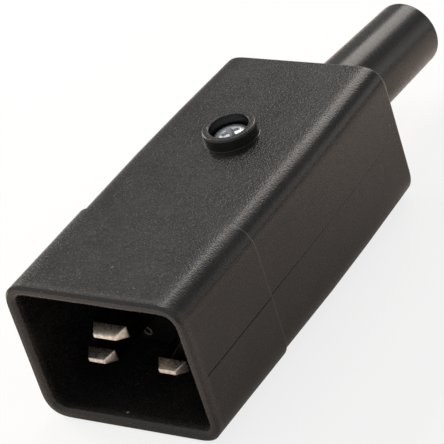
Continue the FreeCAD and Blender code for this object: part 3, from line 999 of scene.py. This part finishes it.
class PLUG_OT_sleeve(bpy.types.Operator):
    """Build the soft bend sleeve that droops behind the shell"""

    bl_idname = "plug.build_sleeve"
    bl_label = "Bend sleeve"

    def execute(self, context):
        sizes = context.scene.plug_sleeve
        shell = context.scene.plug_shell
        root = Vector((0.0, shell_high.y, shell.neck_height))
        along = Vector((0.0, math.cos(sizes.droop), -math.sin(sizes.droop)))
        upward = Vector((0.0, math.sin(sizes.droop), math.cos(sizes.droop)))
        slope = (sizes.root_radius - sizes.end_radius) / sizes.run
        around = spokes(SLEEVE_SIDES)

        def leaning_point(place, radius, x, z):
            return root + along * place + (RIGHT * x + upward * z) * radius

        def leaning_ring(place, radius):
            return [leaning_point(place, radius, x, z) for x, z in around]

        def cut_ring(radius, narrowing):
            """Where the leaning tube meets the rear face."""
            points = []
            for x, z in around:
                lift = z * upward.y
                place = -radius * lift / (along.y - narrowing * lift)
                points.append(leaning_point(place, radius - narrowing * place, x, z))
            return points

        def upright_ring(place, radius):
            return [Vector((radius * x, place, root.z + radius * z)) for x, z in around]

        flange_back = shell_high.y - shell.rear_wall
        flange_front = flange_back - sizes.flange_thickness
        straight = sizes.run - sizes.end_run
        wide_bore = sizes.bore + sizes.lead_in
        rings = [upright_ring(root.y, sizes.neck_radius), cut_ring(sizes.root_radius, slope)]
        for place in (ROOT_SUPPORT, straight / 2, straight - END_SUPPORT):
            rings.append(leaning_ring(place, sizes.root_radius - slope * place))
        for run, rest in soft_steps(SLEEVE_END_STEPS):
            place = sizes.run - sizes.end_run * rest
            rings.append(leaning_ring(place, sizes.root_radius - slope * place - sizes.end_round * run))
        for run, rest in soft_steps(SMALL_EDGE_STEPS):
            place = sizes.run - sizes.mouth_round * run
            rings.append(leaning_ring(place, sizes.bore + sizes.mouth_round * rest))
        for place in (sizes.run - sizes.mouth_round - MOUTH_SUPPORT, sizes.run / 2):
            rings.append(leaning_ring(place, sizes.bore))
        rings.append(cut_ring(sizes.bore, 0.0))
        for place, radius in (
            (root.y, wide_bore),
            (flange_front, wide_bore),
            (flange_front, sizes.flange_radius),
            (flange_back, sizes.flange_radius),
            (flange_back, sizes.neck_radius),
        ):
            rings.append(upright_ring(place, radius))
        mesh = mesh_from(closed_tube(rings), "bend_sleeve")
        show_piece("bend_sleeve", mesh, ["soft_pvc"], "cord_guard")
        return {"FINISHED"}


# Pins and insert


def tip_wear_and_sheen(face):
    """How far a face of a pin is scuffed and painted brighter as a painted reflection: its tip, and there
    least on top, as painted shade.
    """
    if face.normal.y > TIP_LIMIT:
        return 0.0
    return TOP_SHEEN if face.normal.z > TIP_TOP_LIMIT else 1.0


class PLUG_OT_pins(bpy.types.Operator):
    """Build the three flat pins with soft edges"""

    bl_idname = "plug.build_pins"
    bl_label = "Pins"

    def execute(self, context):
        sizes = context.scene.plug_pins
        for name in ("line", "neutral", "earth"):
            node = name + "_pin"
            bm = softened_copy(node, sizes.edge_round, lambda point: point.y < sizes.blade_end - HAIR)
            mesh = mesh_from(bm, name + "_blade")
            # The tips are painted brighter as a painted reflection; the blades keep the dulled tones of
            # painted shade
            mark_faces(mesh, tip_wear_and_sheen)
            show_piece(name + "_blade", mesh, ["nickel_plating"], node)
        return {"FINISHED"}


class PLUG_OT_insert(bpy.types.Operator):
    """Finish the insert, with the ring-shaped tool mark on the recess floor"""

    bl_idname = "plug.build_insert"
    bl_label = "Insert"

    def execute(self, context):
        sizes = context.scene.plug_pins
        around = spokes(MARK_SIDES)
        rings = []
        for step in range(MARK_STEPS + 1):
            bend = math.pi * step / MARK_STEPS
            radius = sizes.mark_radius - sizes.mark_width / 2 * math.cos(bend)
            place = sizes.floor_place - sizes.mark_height * math.sin(bend)
            ring = [(sizes.mark_x + radius * x, place, sizes.mark_z + radius * z) for x, z in around]
            rings.append(ring)
        mesh = mesh_from(closed_tube(rings), "tool_mark")
        show_piece("tool_mark", mesh, ["marked_plastic"])
        for node in ("contact_carrier", "cord_clamp"):
            set_materials(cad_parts[node].data, ["insert_plastic"])
        return {"FINISHED"}


# Screws


def thread_tree():
    """Helical thread as a node tree, with its sizes as inputs."""
    tree = bpy.data.node_groups.new("screw_thread", "GeometryNodeTree")
    tree.is_modifier = True
    for label in ("Core Radius", "Depth", "Pitch", "Length"):
        tree.interface.new_socket(name=label, in_out="INPUT", socket_type="NodeSocketFloat")
    tree.interface.new_socket(name="Place", in_out="INPUT", socket_type="NodeSocketVector")
    tree.interface.new_socket(name="Material", in_out="INPUT", socket_type="NodeSocketMaterial")
    tree.interface.new_socket(name="Geometry", in_out="OUTPUT", socket_type="NodeSocketGeometry")
    start = tree.nodes.new("NodeGroupInput").outputs
    end = tree.nodes.new("NodeGroupOutput")
    turns = maths(tree, "DIVIDE", start["Length"], start["Pitch"])
    helix_inputs = {
        "Resolution": 28,
        "Rotations": turns,
        "Start Radius": start["Core Radius"],
        "End Radius": start["Core Radius"],
        "Height": start["Length"],
    }
    helix = put(tree, "GeometryNodeCurveSpiral", helix_inputs)
    ridge = put(tree, "GeometryNodeCurvePrimitiveCircle", {"Resolution": 4, "Radius": start["Depth"]})
    sweep_inputs = {
        "Curve": helix.outputs["Curve"],
        "Profile Curve": ridge.outputs["Curve"],
        "Fill Caps": True,
    }
    sweep = put(tree, "GeometryNodeCurveToMesh", sweep_inputs)
    moved_inputs = {"Geometry": sweep.outputs["Mesh"], "Translation": start["Place"]}
    moved = put(tree, "GeometryNodeTransform", moved_inputs)
    real = put(tree, "GeometryNodeRealizeInstances", {"Geometry": moved.outputs["Geometry"]})
    finished_inputs = {"Geometry": real.outputs["Geometry"], "Material": start["Material"]}
    finished = put(tree, "GeometryNodeSetMaterial", finished_inputs)
    tree.links.new(finished.outputs["Geometry"], end.inputs["Geometry"])
    return tree


def thread_mesh(tree, values):
    """The thread tree's result, with its inputs set by their identifiers."""
    carrier = add_object("thread", bpy.data.meshes.new("thread"))
    step = carrier.modifiers.new("thread", "NODES")
    step.node_group = tree
    for item in tree.interface.items_tree:
        if item.in_out == "INPUT":
            step[item.identifier] = values[item.name]
    bpy.context.view_layer.update()
    result = plain_mesh(carrier)
    bpy.data.objects.remove(carrier)
    return result


def slot_cutter(node, width, depth):
    """Straight slot across a screw's head."""
    low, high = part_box(node)
    reach = (high.x - low.x) / 2 + OVER
    corners = rectangle(box_middle(node), RIGHT.xy, reach, width / 2)
    return tapered_block(corners, high.z + OVER, corners, high.z - depth)


def cross_cutters(node, sizes):
    """The two tapering arms of the cross recess."""
    _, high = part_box(node)
    centre = collar_centre()
    cutters = []
    for turn in (sizes.cross_turn, sizes.cross_turn + math.pi / 2):
        along = Vector((math.cos(turn), math.sin(turn)))
        levels = []
        for grown in (1.0 + sizes.cross_taper / 2, sizes.cross_taper):
            span = sizes.cross_span / 2 * grown
            levels.append(rectangle(centre, along, span, sizes.cross_width / 2 * grown))
        top = high.z + sizes.cross_depth / 2
        cutters.append(tapered_block(levels[0], top, levels[1], high.z - sizes.cross_depth))
    return cutters


def pan_head(radius, top, height, crown):
    """(radius, height) pairs of a pan head, from the middle of its crown to under its rim."""
    dome = (radius**2 + crown**2) / (2 * crown)
    reach = math.asin(radius / dome)
    points = []
    for i in range(CROWN_STEPS + 1):
        angle = reach * i / CROWN_STEPS
        points.append((max(dome * math.sin(angle), AXIS_GAP), top - dome + dome * math.cos(angle)))
    return points + [(radius, top - height + UNDERSIDE_RISE), (radius * UNDERSIDE_SHARE, top - height)]


class PLUG_OT_screws(bpy.types.Operator):
    """Build the screws with their recesses and threads, and finish the nut"""

    bl_idname = "plug.build_screws"
    bl_label = "Screws"

    def execute(self, context):
        sizes = context.scene.plug_screws
        tree = thread_tree()
        self.housing_screw(sizes, tree)
        for name in ("line", "neutral", "earth"):
            node = name + "_terminal_screw"
            self.slotted_screw(node, sizes, sizes.terminal_head, sizes.terminal_shank, tree)
        for name in ("left", "right"):
            node = name + "_clamp_screw"
            self.slotted_screw(node, sizes, sizes.clamp_head, sizes.clamp_shank, tree)
        set_materials(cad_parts["housing_nut"].data, ["zinc_plating"])
        return {"FINISHED"}

    def housing_screw(self, sizes, tree):
        radius = (head_high.x - head_low.x) / 2
        head = pan_head(radius, head_high.z, sizes.head_height, sizes.crown)
        cutters = cross_cutters("housing_screw", sizes)
        seat = head_high.z - sizes.head_height
        shank = sizes.housing_shank
        threaded_screw("housing_pan_screw", "housing_screw", head, seat, cutters, shank, tree)

    def slotted_screw(self, node, sizes, head_height, shank_radius, tree):
        low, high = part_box(node)
        radius = (high.x - low.x) / 2
        edge = sizes.head_edge
        head = [(AXIS_GAP, high.z)]
        for run, rest in soft_steps(HEAD_EDGE_STEPS):
            head.append((radius - edge * rest, high.z - edge * run))
        seat = high.z - head_height
        head.append((radius, seat))
        cutters = [slot_cutter(node, sizes.slot_width, sizes.slot_depth)]
        threaded_screw(node + "_turned", node, head, seat, cutters, shank_radius, tree)


def threaded_screw(name, node, head, seat, cutters, shank_radius, tree):
    """Screw whose profile runs from the middle of its head down to its point."""
    sizes = bpy.context.scene.plug_screws
    low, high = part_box(node)
    centre = box_middle(node)
    core = shank_radius - sizes.thread_depth
    margin = THREAD_MARGIN * sizes.thread_depth
    profile = head + [(core, seat), (core, low.z + SCREW_POINT), (core - SCREW_POINT, low.z)]
    body = cut_away(capped_solid(turned_rings(profile, centre, sizes.sides)), cutters)
    thread = thread_mesh(
        tree,
        {
            "Core Radius": core,
            "Depth": sizes.thread_depth,
            "Pitch": sizes.pitch,
            "Length": seat - low.z - 2 * margin,
            "Place": Vector((centre.x, centre.y, low.z + margin)),
            "Material": bpy.data.materials["zinc_plating"],
        },
    )
    bm = bmesh.new()
    bm.from_mesh(body)
    bm.from_mesh(thread)
    finish_faces([bm.faces], 0)
    mesh = mesh_from(bm, name)

    def sunk(face):
        """Whether a face is a wall or the floor of the recess in the head."""
        if face.center.z < seat + HAIR:
            return False
        if face.normal.z > LEVEL_LIMIT:
            return face.center.z < high.z - CROWN_MARGIN * sizes.crown
        return face.normal.dot(face.center - centre) < face.normal.z * face.center.z

    # The recess's faces are painted darker by the plating: painted shade
    mark_faces(mesh, sunk)
    show_piece(name, mesh, ["zinc_plating"], node)


# Stage


def camera_axes(stage):
    """Right, up and forward of the camera."""
    level = math.cos(stage.elevation)
    forward = Vector(
        (-math.sin(stage.azimuth) * level, math.cos(stage.azimuth) * level, -math.sin(stage.elevation))
    )
    right = forward.cross(UP).normalized()
    up = right.cross(forward)
    leaning = up * math.cos(stage.roll) + right * math.sin(stage.roll)
    return forward.cross(leaning), leaning, forward


# Name, direction from the plug, width and radiance of each softbox, and whether it shows in reflections
LAMPS = (
    ("key_softbox", (-0.145, 0.795, 0.56), 0.53, 4.1, True),
    ("upper_softbox", (-0.375, 0.61, 0.70), 0.25, 4.0, True),
    ("left_softbox", (-0.86, 0.30, 0.415), 0.4, 8.0, True),
    ("left_fill", (-0.91, 0.03, 0.42), 0.7, 9.5, False),
    ("back_softbox", (0.63, 0.75, 0.20), 0.42, 0.75, True),
)


class PLUG_OT_stage(bpy.types.Operator):
    """Set up the camera, the white floor and the soft light"""

    bl_idname = "plug.build_stage"
    bl_label = "Stage"

    def execute(self, context):
        stage = context.scene.plug_stage
        context.scene.view_settings.view_transform = "Standard"
        self.camera(context, stage)
        self.floor(stage)
        self.world(context, stage)
        for settings in LAMPS:
            self.lamp(stage, settings)
        return {"FINISHED"}

    def camera(self, context, stage):
        data = bpy.data.cameras.new("camera")
        data.sensor_width = SENSOR_WIDTH
        data.lens = stage.lens
        right, up, forward = camera_axes(stage)
        turn = Matrix((right, up, -forward)).transposed().to_4x4()
        spot = Vector(stage.aim) - forward * stage.distance
        camera = add_object("camera", data)
        camera.matrix_world = Matrix.Translation(spot) @ turn
        context.scene.camera = camera

    def floor(self, stage):
        """White floor that shows part of its shadow; in reflections it shows a painted pool of light, warm
        near the plug and fading to dark far away.
        """
        half = stage.floor_size / 2
        level = cad_low[2]
        mesh = bpy.data.meshes.new("floor")
        corners = [(-half, -half, level), (half, -half, level), (half, half, level), (-half, half, level)]
        mesh.from_pydata(corners, [], [(0, 1, 2, 3)])
        tree, shader, vector = new_material("white_floor")
        shader.inputs["Roughness"].default_value = FLOOR_ROUGHNESS
        shader.inputs["Specular IOR Level"].default_value = 0.0
        path = put(tree, "ShaderNodeLightPath").outputs
        away = put(tree, "ShaderNodeVectorMath", {0: vector}, operation="LENGTH").outputs["Value"]
        # Painted pool of light: the floor's colour fades from near to far in reflections
        fading = ramp(tree, away, stage.near_reach, stage.far_reach)
        faded = blend_colours(tree, fading, rgba(stage.floor_near), rgba(stage.floor_far))
        shade = blend_colours(tree, path["Is Camera Ray"], faded, rgba(stage.floor_colour))
        tree.links.new(shade, shader.inputs["Base Color"])
        tone = blend_colours(tree, path["Is Camera Ray"], faded, WHITE)
        glow = put(tree, "ShaderNodeEmission", {"Color": tone, "Strength": 1.0})
        bounced = maths(tree, "MAXIMUM", path["Is Glossy Ray"], path["Is Transmission Ray"])
        mirrored = maths(tree, "MULTIPLY", bounced, stage.gloss_share)
        plain = ramp(tree, fading, 0.0, 1.0, 1.0 - stage.shadow_share, 1.0)
        seen = maths(tree, "MULTIPLY", path["Is Camera Ray"], plain)
        factor = maths(tree, "MAXIMUM", seen, mirrored)
        sides = {0: factor, 1: shader.outputs["BSDF"], 2: glow.outputs["Emission"]}
        mix = put(tree, "ShaderNodeMixShader", sides)
        tree.links.new(mix.outputs["Shader"], tree.nodes["Material Output"].inputs["Surface"])
        set_materials(mesh, ["white_floor"])
        floor = add_object("floor", mesh)

    def world(self, context, stage):
        """Even light from all round, white to the camera, with a room in reflections."""
        world = bpy.data.worlds.new("studio")
        context.scene.world = world
        world.use_nodes = True
        tree = world.node_tree
        background = tree.nodes["Background"]
        background.inputs["Color"].default_value = WHITE
        direction = put(tree, "ShaderNodeTexCoord").outputs["Generated"]
        height = put(tree, "ShaderNodeSeparateXYZ", {0: direction}).outputs["Z"]

        def glow_towards(facing, band, level):
            inputs = {0: direction, 1: facing}
            near = put(tree, "ShaderNodeVectorMath", inputs, operation="DOT_PRODUCT").outputs["Value"]
            return ramp(tree, near, *band, stage.room_level, level)

        wall = glow_towards(WALL_FACING, WALL_BAND, stage.wall_level)
        ceiling = glow_towards(CEILING_FACING, CEILING_BAND, stage.front_level)
        room = ramp(tree, maths(tree, "ABSOLUTE", height), *HORIZON_BAND, wall, ceiling)
        path = put(tree, "ShaderNodeLightPath").outputs
        lit = put(tree, "ShaderNodeMix", {"Factor": path["Is Diffuse Ray"], "A": room, "B": stage.fill_level})
        seen = put(tree, "ShaderNodeMix", {"Factor": path["Is Camera Ray"], "A": lit.outputs[0], "B": 1.0})
        tree.links.new(seen.outputs[0], background.inputs["Strength"])

    def lamp(self, stage, settings):
        """Square softbox that faces the plug."""
        name, towards, size, radiance, mirrored = settings
        data = bpy.data.lights.new(name, "AREA")
        data.size = size
        data.color = stage.lamp_colour
        data.energy = radiance * math.pi * size**2
        towards = Vector(towards).normalized()
        middle = (Vector(cad_low) + Vector(cad_high)) / 2
        turn = towards.to_track_quat("Z", "Y").to_matrix().to_4x4()
        lamp = add_object(name, data)
        lamp.visible_glossy = mirrored
        lamp.matrix_world = Matrix.Translation(middle + towards * LAMP_DISTANCE) @ turn


class PLUG_PT_sidebar(bpy.types.Panel):
    """Lists the plug's settings and the steps that build it"""

    bl_idname = "PLUG_PT_sidebar"
    bl_label = "Power Plug"
    bl_space_type = "VIEW_3D"
    bl_region_type = "UI"
    bl_category = "Power Plug"

    def draw(self, context):
        for step in OPERATORS:
            self.layout.operator(step.bl_idname)
        for attribute in SETTINGS:
            group = getattr(context.scene, attribute)
            box = self.layout.box()
            for label in group.__annotations__:
                box.prop(group, label, text=label.replace("_", " ").capitalize())


SETTINGS = {
    "plug_shell": PlugShellSizes,
    "plug_sleeve": PlugSleeveSizes,
    "plug_pins": PlugPinSizes,
    "plug_screws": PlugScrewSizes,
    "plug_finishes": PlugFinishes,
    "plug_stage": PlugStageSettings,
}
OPERATORS = (
    PLUG_OT_materials,
    PLUG_OT_shell,
    PLUG_OT_sleeve,
    PLUG_OT_pins,
    PLUG_OT_insert,
    PLUG_OT_screws,
    PLUG_OT_stage,
)


def register():
    for attribute, group in SETTINGS.items():
        bpy.utils.register_class(group)
        setattr(bpy.types.Scene, attribute, PointerProperty(type=group))
    for step in OPERATORS + (PLUG_PT_sidebar,):
        bpy.utils.register_class(step)


def unregister():
    for step in reversed(OPERATORS + (PLUG_PT_sidebar,)):
        bpy.utils.unregister_class(step)
    for attribute, group in SETTINGS.items():
        delattr(bpy.types.Scene, attribute)
        bpy.utils.unregister_class(group)


def main():
    register()
    bpy.ops.plug.build_materials()
    bpy.ops.plug.build_shell()
    bpy.ops.plug.build_sleeve()
    bpy.ops.plug.build_pins()
    bpy.ops.plug.build_insert()
    bpy.ops.plug.build_screws()
    bpy.ops.plug.build_stage()


if __name__ == "__main__":
    main()
